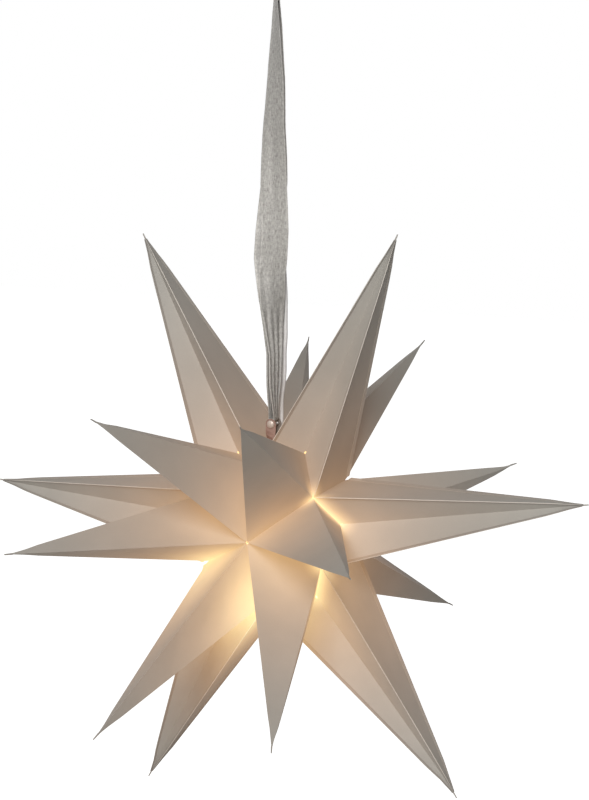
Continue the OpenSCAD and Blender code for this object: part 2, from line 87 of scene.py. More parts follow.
# %% Cord route
def smooth_path(points, steps):
    """Points on a smooth curve through the given ones."""
    p = [Vector(q) for q in points]
    p = [2 * p[0] - p[1]] + p + [2 * p[-1] - p[-2]]
    path = []
    for a, b, c, d in zip(p, p[1:], p[2:], p[3:]):
        for i in range(steps):
            f = i / steps
            path.append(0.5 * (2 * b + (c - a) * f + (2 * a - 5 * b + 4 * c - d) * f ** 2
                               + (3 * b - a - 3 * c + d) * f ** 3))
    return path + [p[-2]]


cord_d = 0.0045
cord_rise = [(-1, 10, 53), (-1.5, 10, 58), (-2, 10, 64), (-2, 11, 72), (-3, 12, 80), (-4, 13, 90),
             (-4, 14, 100), (-4, 14, 115), (-2, 14, 131), (-1, 14, 145), (-1, 14, 160), (0, 14, 175),
             (0, 14, 190), (0, 14, 215), (-2, 14, 250), (-3, 14, 285), (-4, 14, 320), (-5, 14, 345),
             (-6, 14, 370), (-7, 14, 414), (-8, 14, 435), (-8, 14, 457), (-8, 14, 482), (-8, 14, 510),
             (-8, 12.6, 540), (-7.4, 10.6, 565.5)]
coil_centre = Vector((25, 17, 582))
turn_pitch = 4.6
coil_outer = 31.7
coil_turns = 12.5
step_turns = 40 / 360
tail_x, tail_y, tail_step = 56.8, 23.9, 3
spiral_turns = (coil_turns - 3 * step_turns) / 4


def coil_point(turns):
    """A point of the coil after so many turns, clockwise from its left side."""
    spiral, inside = divmod(turns, spiral_turns + step_turns)
    spiral = int(min(spiral, 3))
    inside = turns - spiral * (spiral_turns + step_turns)
    wound = min(inside, spiral_turns)
    wound = wound if spiral % 2 == 0 else spiral_turns - wound
    radius = coil_outer - turn_pitch * wound
    hop = max(0, inside - spiral_turns) / step_turns
    depth = turn_pitch * (spiral - 1.5 + (1 - math.cos(math.pi * hop)) / 2)
    angle = math.pi - 2 * math.pi * turns
    return coil_centre + Vector((radius * math.cos(angle), depth, radius * math.sin(angle)))


cord_path = smooth_path(cord_rise, 3)
coil_steps = int(coil_turns * 48)
coil_path = [coil_point(coil_turns * i / coil_steps) for i in range(coil_steps + 1)]
link_middle = (cord_path[-1] * 0.45 + coil_path[0] * 0.55) + Vector((-0.15, 0, 0))
link_path = smooth_path([cord_path[-1], link_middle, coil_path[0]], 4)[1:-1]
tail_path = [Vector((tail_x, tail_y, coil_centre.z - tail_step * i)) for i in range(1, 7)]
cord_path = [CENTRE + p * MM for p in cord_path + link_path + coil_path + tail_path]
cord_length = sum((b - a).length for a, b in zip(cord_path, cord_path[1:]))
print("cord length", round(cord_length, 3), "m in", len(cord_path), "points")

# %% Cord
cord_data = bpy.data.curves.new("lamp_lead", "CURVE")
cord_data.dimensions = "3D"
spline = cord_data.splines.new("POLY")
spline.points.add(len(cord_path) - 1)
for point, place in zip(spline.points, cord_path):
    point.co = (*place, 1)
    point.radius = cord_d / 2
# A curve's box is widened by its points' radius, so the thickness is given there.
cord_data.bevel_depth = 1
cord_data.bevel_resolution = 3
cord_data.use_fill_caps = True
lamp_lead = bpy.data.objects.new("lamp_lead", cord_data)
bpy.context.scene.collection.objects.link(lamp_lead)
spline.use_smooth = True
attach(lamp_lead, "root")
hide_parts("lamp_cord", "cord_coil")


# %% [markdown]
# ## Working helpers
# Shader maths reads best as ordinary expressions. The class below wraps a socket, so that an
# expression such as `1 - mask * 0.5` adds the Math nodes itself, and one method adds any other
# node. The modelling helpers start and end an edit session with nothing left selected.

# %% Shader helper
class Value:
    """A node's output socket that can be used in an expression."""

    def __init__(self, tree, socket):
        self.tree, self.socket = tree, socket

    def math(self, operation, *others):
        node = self.tree.nodes.new("ShaderNodeMath")
        node.operation = operation
        for slot, other in zip(node.inputs, (self, *others)):
            if isinstance(other, Value):
                self.tree.links.new(other.socket, slot)
            else:
                slot.default_value = other
        return Value(self.tree, node.outputs[0])

    def from_number(self, number, operation):
        node = self.tree.nodes.new("ShaderNodeMath")
        node.operation = operation
        node.inputs[0].default_value = number
        self.tree.links.new(self.socket, node.inputs[1])
        return Value(self.tree, node.outputs[0])

    def __add__(self, other): return self.math("ADD", other)
    def __radd__(self, other): return self.from_number(other, "ADD")
    def __sub__(self, other): return self.math("SUBTRACT", other)
    def __rsub__(self, other): return self.from_number(other, "SUBTRACT")
    def __mul__(self, other): return self.math("MULTIPLY", other)
    def __rmul__(self, other): return self.from_number(other, "MULTIPLY")
    def __truediv__(self, other): return self.math("DIVIDE", other)
    def __rtruediv__(self, other): return self.from_number(other, "DIVIDE")
    def __pow__(self, other): return self.math("POWER", other)
    def above(self, number): return self.math("MAXIMUM", number)
    def below(self, number): return self.math("MINIMUM", number)


class Finish:
    """A material, its main shader and the nodes that feed it."""

    def __init__(self, name, **constants):
        self.material = bpy.data.materials.new(name)
        self.material.use_nodes = True
        self.tree = self.material.node_tree
        self.shader = self.tree.nodes["Principled BSDF"]
        for socket, value in constants.items():
            self.shader.inputs[socket.replace("_", " ")].default_value = value

    def node(self, kind, settings=None, values=None, out=0):
        """Any node: its settings are set first, then its sockets get values or links."""
        node = self.tree.nodes.new(kind)
        for name, setting in (settings or {}).items():
            setattr(node, name, setting)
        for name, value in (values or {}).items():
            if isinstance(value, Value):
                self.tree.links.new(value.socket, node.inputs[name])
            else:
                node.inputs[name].default_value = value
        return Value(self.tree, node.outputs[out])

    def places(self):
        return self.node("ShaderNodeTexCoord", out=3)

    def noise(self, places, scale, detail=3, roughness=0.5):
        return self.node("ShaderNodeTexNoise", None, {"Vector": places, "Scale": scale, "Detail": detail,
                                                      "Roughness": roughness})

    def scaled(self, places, scale):
        return self.node("ShaderNodeMapping", None, {"Vector": places, "Scale": scale})

    def mix(self, share, first, second):
        node = self.tree.nodes.new("ShaderNodeMix")
        node.data_type = "RGBA"
        for index, value in ((0, share), (6, first), (7, second)):
            if isinstance(value, Value):
                self.tree.links.new(value.socket, node.inputs[index])
            elif index == 0:
                node.inputs[0].default_value = value
            else:
                node.inputs[index].default_value = (*value, 1)
        return Value(self.tree, node.outputs[2])

    def scaled_by(self, colour, share):
        """A colour or a vector times a number."""
        return self.node("ShaderNodeVectorMath", {"operation": "SCALE"}, {0: colour, "Scale": share})

    def minus(self, first, second):
        """One vector less another."""
        return self.node("ShaderNodeVectorMath", {"operation": "SUBTRACT"}, {0: first, 1: second})

    def range(self, value, low, high, to_low=0.0, to_high=1.0):
        return self.node("ShaderNodeMapRange", None, {"Value": value, "From Min": low, "From Max": high,
                                                      "To Min": to_low, "To Max": to_high})

    def feed(self, socket, value):
        self.tree.links.new(value.socket, self.shader.inputs[socket])

    def bump(self, height, strength, distance):
        self.feed("Normal", self.node("ShaderNodeBump", None, {"Height": height, "Strength": strength,
                                                               "Distance": distance}))


# %% Modelling helpers
def deselect():
    if bpy.context.mode != "OBJECT":
        bpy.ops.object.mode_set(mode="OBJECT")
    bpy.ops.object.select_all(action="DESELECT")


def select_only(piece):
    deselect()
    piece.select_set(True)
    bpy.context.view_layer.objects.active = piece


def edit(piece, kind="FACE"):
    """Starts editing a piece with nothing selected."""
    select_only(piece)
    bpy.ops.object.mode_set(mode="EDIT")
    bpy.ops.mesh.select_mode(type=kind)
    bpy.ops.mesh.select_all(action="DESELECT")


def pick(piece, kind, test):
    """Selects the faces, edges or vertices whose middle passes the test."""
    mesh = bmesh.from_edit_mesh(piece.data)
    chosen = {"FACE": mesh.faces, "EDGE": mesh.edges, "VERT": mesh.verts}[kind]
    count = 0
    for item in chosen:
        if kind == "FACE":
            middle, direction = item.calc_center_median(), item.normal
        elif kind == "EDGE":
            middle = (item.verts[0].co + item.verts[1].co) / 2
            direction = (item.verts[1].co - item.verts[0].co).normalized()
        else:
            middle, direction = item.co, item.normal
        if test(middle, direction):
            item.select_set(True)
            count += 1
    mesh.select_flush_mode()
    bmesh.update_edit_mesh(piece.data)
    return count


def apply(piece, kind, **settings):
    """Adds a modifier and applies it."""
    select_only(piece)
    modifier = piece.modifiers.new(kind.lower(), kind)
    for name, value in settings.items():
        setattr(modifier, name, value)
    bpy.ops.object.modifier_apply(modifier=modifier.name)


def settle(piece):
    """Puts a piece's place into its mesh."""
    select_only(piece)
    bpy.ops.object.transform_apply(location=True, rotation=True, scale=True)


def dress(piece, material, slot=None):
    """Gives a piece its only material, and attaches a new piece to the root body; the slot's name itself
    is not used.
    """
    piece.data.materials.clear()
    piece.data.materials.append(material)
    if slot:
        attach(piece, "root")


def copy_of_node(name, new_name):
    """A loose copy of a solid's mesh with its doubled points merged."""
    piece = NODES[name].copy()
    piece.data = NODES[name].data.copy()
    piece.name = piece.data.name = new_name
    for key in [k for k in piece.keys() if k.startswith("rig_")]:
        del piece[key]
    bpy.context.scene.collection.objects.link(piece)
    edit(piece)
    bpy.ops.mesh.select_all(action="SELECT")
    bpy.ops.mesh.customdata_custom_splitnormals_clear()
    bpy.ops.mesh.remove_doubles(threshold=1e-5)
    bpy.ops.object.mode_set(mode="OBJECT")
    return piece


def mesh_piece(name, points, faces):
    """A new piece from points and faces."""
    mesh = bpy.data.meshes.new(name)
    mesh.from_pydata([tuple(p) for p in points], [], faces)
    mesh.update()
    piece = bpy.data.objects.new(name, mesh)
    bpy.context.scene.collection.objects.link(piece)
    return piece


print("helpers ready")

# %% [markdown]
# ## The folded paper
# Real card is never quite flat: between two folds a face bows a little, and the folds stay
# straight. Each segment starts as a copy of its solid. It is cut into small cells by planes,
# which leaves its shape alone, and then the points between the folds are moved by under a
# millimetre. Each tip is pinched into a finer point, and a few are bent, as handling leaves
# them. Numbers kept on the faces tell the finish which are the inner side and which the fins:
# the fins' sides get painted shade, and their edges a painted highlight over the paper's pale core.

# %% Corners of the folds
tip_reach, outer_tip_reach, outer_tip_depth = 300, 159, 232
pole_depth, corner_reach, corner_depth, notch_depth = 74, 63.5, 40, 15
segment_dirs = [66.5, 8.5, -54.5, -117.5, -183.5, -243]
front_turns = [-1, 0, -0.5, 0, -0.5, 0.5]
middle_turns = [1, 0.5, 1, 0, 0.5, 0.5]
rear_turns = [1, -0.5, 0, 0, 0, -1]
front_extra = [-2, 6, 3, 5, 1, -4]
rear_extra = [-5, 0, 1, 0, 0, -6]
notch_reach = [80, 68, 74, 75, 75, 76]
seam_dir = (segment_dirs[0] + segment_dirs[5] + 360) / 2
cell_size = 0.012
bend_reach = 0.022
slim_reach, slim_radius, slim_share = 0.034, 0.012, 0.55
fold_width, bow_full_at = 0.0008, 0.018
bow_in, bow_swing, bow_ripple = -0.0006, 0.0012, 0.0003
same_plane, fins_begin, smallest_inner_face = 0.995, 0.085, 8e-6


def spot(reach, direction, depth):
    a = math.radians(direction)
    return CENTRE + Vector((reach * math.cos(a), -depth, reach * math.sin(a))) * MM


def fold_points(k):
    """The named corners and tips of a segment's folds."""
    high = seam_dir if k == 0 else (segment_dirs[k - 1] + segment_dirs[k]) / 2
    low = seam_dir - 360 if k == 5 else (segment_dirs[k] + segment_dirs[k + 1]) / 2
    middle = segment_dirs[k]
    return {
        "pole_f": spot(0, 0, pole_depth), "pole_r": spot(0, 0, -pole_depth),
        "high_f": spot(corner_reach, high, corner_depth), "low_f": spot(corner_reach, low, corner_depth),
        "high_r": spot(corner_reach, high, -corner_depth), "low_r": spot(corner_reach, low, -corner_depth),
        "notch_f": spot(notch_reach[k], middle, notch_depth),
        "notch_r": spot(notch_reach[k], middle, -notch_depth),
        "tip_f": spot(outer_tip_reach + front_extra[k], middle + front_turns[k], outer_tip_depth),
        "tip_m": spot(tip_reach, middle + middle_turns[k], 0),
        "tip_r": spot(outer_tip_reach + rear_extra[k], middle + rear_turns[k], -outer_tip_depth)}


around = {"tip_f": ["pole_f", "high_f", "notch_f", "low_f"],
          "tip_m": ["notch_f", "high_f", "high_r", "notch_r", "low_r", "low_f"],
          "tip_r": ["notch_r", "high_r", "pole_r", "low_r"]}
valley_pairs = [("high_f", "notch_f"), ("low_f", "notch_f"), ("high_r", "notch_r"), ("low_r", "notch_r"),
                ("pole_f", "high_f"), ("pole_f", "low_f"), ("pole_r", "high_r"), ("pole_r", "low_r"),
                ("high_f", "high_r"), ("low_f", "low_r")]
# How each tip bends in its last centimetres, in millimetres: (segment, tip): sideways, depth, up
tip_bends = {(1, "tip_r"): (0, 0, 5), (2, "tip_m"): (-2, 0, -3), (2, "tip_f"): (-1, 0, -2),
             (3, "tip_m"): (-2, 0, -2), (4, "tip_m"): (-2, 0, 1), (5, "tip_f"): (-2, 0, 1)}
print("corners of the first segment:", sorted(fold_points(0)))


# %% Paper pieces
def line_distance(points, a, b):
    """How far each point is from the line between a and b."""
    a, b = np.array(a), np.array(b)
    along = np.clip(((points - a) @ (b - a)) / ((b - a) @ (b - a)), 0, 1)
    return np.linalg.norm(points - (a + along[:, None] * (b - a)), axis=1)


def cut_into_cells(piece, size):
    """Cuts a piece by planes so far apart, square to the three axes."""
    edit(piece)
    corners = np.array([v.co[:] for v in bmesh.from_edit_mesh(piece.data).verts])
    for axis in range(3):
        low, high = corners[:, axis].min(), corners[:, axis].max()
        normal = [0, 0, 0]
        normal[axis] = 1
        for i in range(int((high - low) / size)):
            place = [0, 0, 0]
            place[axis] = low + size * (i + 0.5)
            bpy.ops.mesh.select_all(action="SELECT")
            bpy.ops.mesh.bisect(plane_co=place, plane_no=normal)
    bpy.ops.object.mode_set(mode="OBJECT")


def face_shares(piece, folds):
    """Marks the card's inner side, the fins' broad sides, which get painted shade, and the fins' edges,
    which get a painted highlight, one number a face.
    """
    outer = []
    for tip, corners in around.items():
        for a, b in zip(corners, corners[1:] + corners[:1]):
            normal = (folds[a] - folds[tip]).cross(folds[b] - folds[tip]).normalized()
            outer.append(normal if normal.dot(folds[tip] - CENTRE) > 0 else -normal)
    axis = (folds["tip_m"] - CENTRE).normalized()
    shares = {"inner": [], "fin_side_shade": [], "edge": []}
    for face in piece.data.polygons:
        alike = [face.normal.dot(normal) for normal in outer]
        on_skin = max(alike) > same_plane
        inward = min(alike) < -same_plane
        away = face.center - CENTRE
        sideways = (away - axis * away.dot(axis)).normalized()
        beside = not on_skin and not inward and away.length > fins_begin
        upright = abs(face.normal.dot(sideways)) > 0.6
        shares["inner"].append(float(inward and face.area > smallest_inner_face))
        # Fins' broad sides are marked for painted shade.
        shares["fin_side_shade"].append(float(beside and not upright))
        # Fins' outer edges are marked for the paper's pale core and a painted highlight.
        shares["edge"].append(float(beside and upright))
    return shares


def slim_tips(points, folds):
    """Draws each tip's last 3 cm in towards its axis, as a pinched point."""
    for tip in around:
        axis = (folds[tip] - CENTRE).normalized()
        along = (points - np.array(folds[tip])) @ np.array(axis)
        foot = np.array(folds[tip]) + along[:, None] * np.array(axis)
        off = points - foot
        near = np.clip(1 + along / slim_reach, 0, 1) * (np.linalg.norm(off, axis=1) < slim_radius)
        points = foot + off * (1 - slim_share * near ** 1.3)[:, None]
    return points


def bow(points, folds, seed):
    """Moves the points between the folds in or out a little, both sides of the card alike."""
    names = list(around)
    tips = np.array([folds[n] for n in names])
    bases = np.array([sum((folds[c] for c in around[n]), Vector()) / len(around[n]) for n in names])
    creases = [line_distance(points, folds[t], folds[c]) for t in names for c in around[t]]
    creases += [line_distance(points, folds[a], folds[b]) for a, b in valley_pairs]
    nearest = np.min(creases, axis=0)
    moved = points.copy()
    for i, p in enumerate(points):
        if nearest[i] < fold_width:
            continue
        spans = [np.linalg.norm(np.cross(p - b, t - b)) / np.linalg.norm(t - b)
                 for t, b in zip(tips, bases)]
        which = int(np.argmin(spans))
        t, b = tips[which], bases[which]
        axis = (t - b) / np.linalg.norm(t - b)
        foot = b + axis * ((p - b) @ axis)
        outward = (p - foot) / max(np.linalg.norm(p - foot), 1e-6)
        share = min(1, nearest[i] / bow_full_at)
        share = share * share * (3 - 2 * share)
        where = Vector(p) * 14 + Vector((seed * 7.3, which * 3.1, 0))
        amount = bow_in + bow_swing * noise.noise(where) + bow_ripple * noise.noise(where * 3.5)
        moved[i] = p + outward * amount * share
    return moved


paper_pieces = []
for k in range(6):
    piece = copy_of_node(f"segment_{k + 1}", f"paper_segment_{k + 1}")
    edit(piece)
    bpy.ops.mesh.select_all(action="SELECT")
    bpy.ops.mesh.dissolve_limited(angle_limit=math.radians(0.3))
    folds = fold_points(k)
    cut_into_cells(piece, cell_size)
    points = np.array([v.co[:] for v in piece.data.vertices])
    moved = bow(points, folds, k)
    for tip, bend in ((t, b) for (s, t), b in tip_bends.items() if s == k):
        near = np.clip(1 - np.linalg.norm(points - np.array(folds[tip]), axis=1) / bend_reach, 0, 1)
        moved += (near ** 1.6)[:, None] * np.array(bend) * MM
    for name, values in face_shares(piece, folds).items():
        attribute = piece.data.attributes.new(name, "FLOAT", "FACE")
        attribute.data.foreach_set("value", np.array(values, dtype=np.float32))
    for vertex, place in zip(piece.data.vertices, slim_tips(moved, folds)):
        vertex.co = place
    select_only(piece)
    bpy.ops.object.shade_smooth_by_angle(angle=math.radians(9))
    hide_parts(f"segment_{k + 1}")
    paper_pieces.append(piece)
print("paper triangles:", sum(len(f.vertices) - 2 for p in paper_pieces for f in p.data.polygons))

# %% [markdown]
# ## The card's finish
# The card is a matt taupe with a fine tooth. The folded fins beside each spike have darker
# sides, which is painted shade, and lighter edges, which are partly the paper's pale core and
# partly a painted highlight; the last centimetres of each tip are darker. The lamp inside shines
# through the card: most close to the low-hanging bulb, and in a few valleys, where two faces
# light each other. That glow is painted on as emission, worked out from the distance to the bulb
# and to those valleys, so it belongs to the surface and stays with it from every side.

# %% Card
card = Finish("taupe_card", Roughness=0.62)
card.shader.inputs["Specular IOR Level"].default_value = 0.3
places = card.places()
grain = card.noise(places, 900, 2, 0.6)
cloud = card.noise(places, 14, 3, 0.55)


def length_of(finish, vector):
    return finish.node("ShaderNodeVectorMath", {"operation": "LENGTH"}, {0: vector}, out=1)


def distance_to_line(finish, places, a, b):
    """How far a place is from the straight line between a and b."""
    along = finish.minus(places, a)
    share = finish.node("ShaderNodeVectorMath", {"operation": "DOT_PRODUCT"}, {0: along, 1: b - a}, out=1)
    share = (share / (b - a).length_squared).above(0.0).below(1.0)
    return length_of(finish, finish.minus(along, finish.scaled_by(b - a, share)))


def warm_line(segment, first, second, width, strength):
    """A glowing valley that fades on both sides."""
    folds = fold_points(segment)
    away = distance_to_line(card, places, folds[first], folds[second])
    return card.range(away, 0.0, width, 1, 0) ** 2 * strength


glow_centre = CENTRE + Vector((-17, -26, -52)) * MM
glow_reach, glow_level = 0.064, 1.22
distance = length_of(card, card.minus(places, glow_centre))
fade = (distance * (-1 / glow_reach)).math("EXPONENT")
valleys = [warm_line(1, "high_f", "notch_f", 0.022, 0.62), warm_line(2, "high_f", "notch_f", 0.024, 0.6),
           warm_line(3, "high_f", "notch_f", 0.085, 0.34), warm_line(3, "low_f", "notch_f", 0.08, 0.26),
           warm_line(4, "low_f", "notch_f", 0.02, 0.1)]
hollow = valleys[0]
for line in valleys[1:]:
    hollow = hollow.math("MAXIMUM", line)
inner = card.node("ShaderNodeAttribute", {"attribute_name": "inner"}, out=2)
inside = inner * card.range(distance, 0.06, 0.25, 1.6, 0)
fin_side_shade = card.node("ShaderNodeAttribute", {"attribute_name": "fin_side_shade"}, out=2)
edge = card.node("ShaderNodeAttribute", {"attribute_name": "edge"}, out=2)
from_middle = card.node("ShaderNodeVectorMath", {"operation": "DISTANCE"}, {0: places, 1: CENTRE}, out=1)
tip_share = card.range(from_middle, 0.12, 0.3)
tip_end = card.range(from_middle, 0.27, 0.3)
shade = card.range(cloud, 0.35, 0.65, 0.96, 1.03) * card.range(grain, 0.3, 0.7, 0.985, 1.015)
body = card.mix(tip_share, (0.41, 0.378, 0.337), (0.373, 0.367, 0.341))
# Painted shade: the fins' broad sides are drawn darker.
body = card.mix(fin_side_shade * 0.45, body, (0.24, 0.22, 0.2))
# Fins' outer edges: partly the paper's pale core, partly a painted highlight.
body = card.mix(edge * 0.6, body, (0.66, 0.61, 0.55))
body = card.mix(tip_end * 0.55, body, (0.2, 0.19, 0.18))
card.feed("Base Color", card.scaled_by(body, shade))
glow = fade * glow_level + hollow + inside
warmth = card.mix(card.range(glow, 0.05, 0.7), (1.0, 0.47, 0.19), (1.0, 0.70, 0.32))
glow = glow * card.range(cloud, 0.3, 0.7, 0.88, 1.1)
card.feed("Emission Color", card.scaled_by(warmth, glow))
card.shader.inputs["Emission Strength"].default_value = 1
card.bump(grain + cloud * 0.4, 0.12, 0.0004)
for piece in paper_pieces:
    dress(piece, card.material, "star_paper")
print("card finish on", len(paper_pieces), "pieces")

# %% [markdown]
# ## The ribbon
# The ribbon is one length of sheer metal-thread fabric, 25 mm wide. It is folded in half round
# the hanger's post, and its two runs go up back to back to a knot and a hanging loop. The runs
# turn on their way, which is why the ribbon looks wide in one place and narrow in another. It is
# modelled as a strip of small cells. Where it is gathered its width goes into pleats, so that
# the cloth keeps its real width.

# %% Ribbon shape
post = Vector((-6, 0, 96))
half_gap_at_post = 2.6
cloth_width, gathered_width, row_step = 25.0, 10, 3.0
run_pleats, gathered_pleats = 3.5, 2.5
cloth_thickness = 0.00022
# Height above the star's centre, sideways place, direction of the width, width, half gap, spread
ribbon_rings = [
    (96, -6, 90, 10, half_gap_at_post, 0), (106, -6, 86, 10, 2.4, 0), (120, -6, 76, 13, 2, 0),
    (133, -5.5, 68, 16, 1.6, 0), (162, -5, 68, 18, 1.3, 0), (185, -6, 62, 22, 1.2, 0),
    (205, -7, 53, 25, 1.1, 0), (233, -8.5, 33, 25, 1, 1.2), (250, -8.5, 25, 25, 1, 2.8),
    (275, -7, 20, 25, 1, 2.6), (319, -5, 6, 25, 1, 0), (370, -4.5, -17, 25, 1, 0),
    (414, -2.5, -32, 25, 1, 0), (457, -2, -49, 25, 1, 0), (482, -2, -58, 25, 1, 0),
    (520, -1, -70, 22, 1, 0), (552, 0, -84, 14, 1, 0), (578, 0, -90, 10, 1, 0), (600, 0, -90, 9, 0.8, 0)]
ring_table = np.array(ribbon_rings, dtype=float)
slopes = np.linspace(0, 1.45, 60)
fine = np.linspace(0, 2 * np.pi, 400)
chords = np.array([np.cos(s * np.cos(fine)).mean() for s in slopes])


def pleat(width, across, waves, flat=cloth_width):
    """Sideways place and depth over the ribbon's width, with its real length folded in pleats."""
    steepest = np.interp(-min(1, width / flat), -chords, slopes)
    along = np.linspace(0, 1, 241)
    lean = steepest * np.cos(2 * np.pi * waves * along)
    x, y = np.cumsum(np.cos(lean)), np.cumsum(np.sin(lean))
    x, y = (x - x[0]) / (x[-1] - x[0]) - 0.5, (y - y.mean()) / (x[-1] - x[0])
    return np.interp(across, along, x) * width, np.interp(across, along, y) * width


def ring_at(z):
    return [np.interp(z, ring_table[:, 0], ring_table[:, i]) for i in range(1, 6)]


columns = 41
across = np.linspace(0, 1, columns)


def ribbon_row(z, side):
    """One row of points over the ribbon's width."""
    x, direction, width, gap, spread = ring_at(z)
    a = math.radians(direction)
    wide = np.array([math.cos(a), math.sin(a), 0])
    out = np.array([math.sin(a), -math.cos(a), 0])
    sideways, depth = pleat(width, across, run_pleats)
    middle = np.array([x, 0, z]) + side * (out * gap + wide * spread)
    row = middle + sideways[:, None] * wide + depth[:, None] * out
    wave = np.array([noise.noise(Vector((u * 3.2 + side * 5, z * 0.022, side))) for u in across])
    crumple = np.array([noise.noise(Vector((u * 9 + side * 9, z * 0.11, 4 + side))) for u in across])
    calm = min(1, max(0, (z - 100) / 30))
    return row + ((0.75 * wave + 0.22 * crumple) * calm)[:, None] * out * (1 if side > 0 else -1)


rows = []
for z in np.arange(600, 97, -row_step):
    rows.append(ribbon_row(z, -1))
for turn in np.linspace(0, math.pi, 11):
    sideways, depth = pleat(gathered_width, across, gathered_pleats)
    out = np.array([math.cos(turn), 0, -math.sin(turn)])
    middle = np.array([post.x, 0, post.z]) + out * half_gap_at_post
    rows.append(middle - sideways[:, None] * np.array([0, -1, 0]) + depth[:, None] * np.array([1, 0, 0]))
for z in np.arange(99, 601, row_step):
    rows.append(ribbon_row(z, 1))
print("ribbon rows:", len(rows))

# %% Ribbon loop and piece
loop_r, loop_top = 16, 655
loop_path = []
for z in np.arange(603, loop_top - loop_r, row_step):
    f = (z - 600) / (loop_top - loop_r - 600)
    loop_path.append((1 + (loop_r - 1.3) * (f * f * (3 - 2 * f)), z))
for a in np.linspace(0, math.pi / 2, 9):
    loop_path.append(((loop_r - 0.3) * math.cos(a), loop_top - loop_r + (loop_r - 0.3) * math.sin(a)))
right_side = loop_path
left_side = [(-x, z) for x, z in reversed(loop_path[:-1])]


def loop_row(x, z, ahead_x, ahead_z):
    sideways, depth = pleat(gathered_width, across, gathered_pleats)
    length = math.hypot(ahead_x, ahead_z) or 1
    out = np.array([ahead_z, 0, -ahead_x]) / length
    thin = 0.35 if z > 620 else 0.8
    return np.array([x, 0, z]) + sideways[:, None] * np.array([0, 1, 0]) + thin * depth[:, None] * out


path = right_side + left_side
for (x, z), (bx, bz), (ax, az) in zip(path, [path[0]] + path[:-1], path[1:] + [path[-1]]):
    rows.append(loop_row(x, z, ax - bx, az - bz))
points = np.concatenate(rows) * MM + np.array(CENTRE)
faces = []
for r in range(len(rows) - 1):
    for c in range(columns - 1):
        a = r * columns + c
        faces.append((a, a + 1, a + columns + 1, a + columns))
ribbon_cloth = mesh_piece("ribbon_cloth", points, faces)
lengths = [np.linalg.norm(np.mean(b - a, axis=0)) for a, b in zip(rows, rows[1:])]
run = np.concatenate([[0], np.cumsum(lengths)]) * MM
layer = ribbon_cloth.data.uv_layers.new(name="cloth")
for face in ribbon_cloth.data.polygons:
    for corner in face.loop_indices:
        index = ribbon_cloth.data.loops[corner].vertex_index
        layer.data[corner].uv = (across[index % columns] * 0.025, run[index // columns])
apply(ribbon_cloth, "SOLIDIFY", thickness=cloth_thickness, offset=0)
select_only(ribbon_cloth)
bpy.ops.object.shade_smooth()
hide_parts("ribbon")

# %% [markdown]
# ## The knot
# Both runs are tied in one overhand knot under the hanging loop. A torus is the closest
# primitive to a wrapped turn of gathered ribbon. Two of them, tilted against each other and
# grooved along their length, make the knot.

# %% Knot
knot_centre = CENTRE + Vector((0, 0, 602)) * MM
deselect()
knot_parts = []
for name, tilt, big, small, high in (("turn", 28, 5.0, 2.9, 1.25), ("cross", -24, 3.6, 3.4, 1.5)):
    bpy.ops.mesh.primitive_torus_add(major_segments=48, minor_segments=24, major_radius=big * MM,
                                     minor_radius=small * MM, location=(0, 0, 0))
    part = bpy.context.object
    for vertex in part.data.vertices:
        angle = math.atan2(vertex.co.y, vertex.co.x)
        ring = Vector((math.cos(angle), math.sin(angle), 0)) * big * MM
        off = vertex.co - ring
        around_ring = math.atan2(off.z, off.dot(ring.normalized()))
        groove = 1 + 0.09 * math.cos(9 * around_ring + 2 * math.sin(2 * angle))
        vertex.co = ring + Vector((off.x * groove, off.y * groove, off.z * groove * high))
    part.rotation_euler = (math.radians(tilt), math.radians(tilt / 3), 0)
    part.location = knot_centre
    settle(part)
    knot_parts.append(part)
select_only(knot_parts[0])
knot_parts[1].select_set(True)
bpy.ops.object.join()
ribbon_knot = bpy.context.object
ribbon_knot.name = ribbon_knot.data.name = "ribbon_knot"
bpy.ops.object.shade_smooth()
print("knot points:", len(ribbon_knot.data.vertices))

# %% [markdown]
# The ribbon's finish shows fine metal threads along its length, with a duller thread across,
# and blotches that are partly the cloth's uneven tone and partly painted sheen and shade of its fine
# crumples.
# It is sheer, so light comes through between the threads. The pattern follows the ribbon's own
# map, whose units are metres of cloth, so it stays true through every turn.

# %% Ribbon finish
cloth = Finish("sheer_ribbon", Roughness=0.42, Metallic=0.25)
cloth.shader.inputs["Specular IOR Level"].default_value = 0.6
uv = cloth.node("ShaderNodeTexCoord", out=2)
threads = cloth.noise(cloth.scaled(uv, (2200, 160, 1)), 1, 2, 0.6)
weft = cloth.noise(cloth.scaled(uv, (160, 1900, 1)), 1, 2, 0.6)
tone_and_sheen_blotches = cloth.noise(cloth.scaled(uv, (480, 330, 1)), 1, 4, 0.65)
silver = cloth.range(threads, 0.35, 0.7)
# Blotches: partly the cloth's uneven tone, partly painted sheen and shade of fine crumples.
tone = cloth.mix(cloth.range(tone_and_sheen_blotches, 0.36, 0.64), (0.31, 0.295, 0.275), (0.53, 0.51, 0.475))
tone = cloth.mix(silver * 0.28, tone, (0.80, 0.79, 0.77))
cloth.feed("Base Color", tone)
cloth.feed("Roughness", cloth.range(tone_and_sheen_blotches, 0.3, 0.7, 0.55, 0.3))
edge_x = cloth.node("ShaderNodeSeparateXYZ", None, {"Vector": uv})
selvage = cloth.range(edge_x, 0.0012, 0.002, 1, 0).math("MAXIMUM", cloth.range(edge_x, 0.023, 0.0238))
solidness = 0.62 + cloth.range(threads + weft * 0.6, 0.6, 1.0) * 0.3 + selvage * 0.3
cloth.feed("Alpha", solidness.below(1.0))
cloth.bump(threads * 0.5 + weft * 0.3 + tone_and_sheen_blotches, 0.5, 0.0004)
dress(ribbon_cloth, cloth.material, "ribbon_fabric")
knot_cloth = Finish("knotted_ribbon", Roughness=0.45, Metallic=0.2)
knot_places = knot_cloth.places()
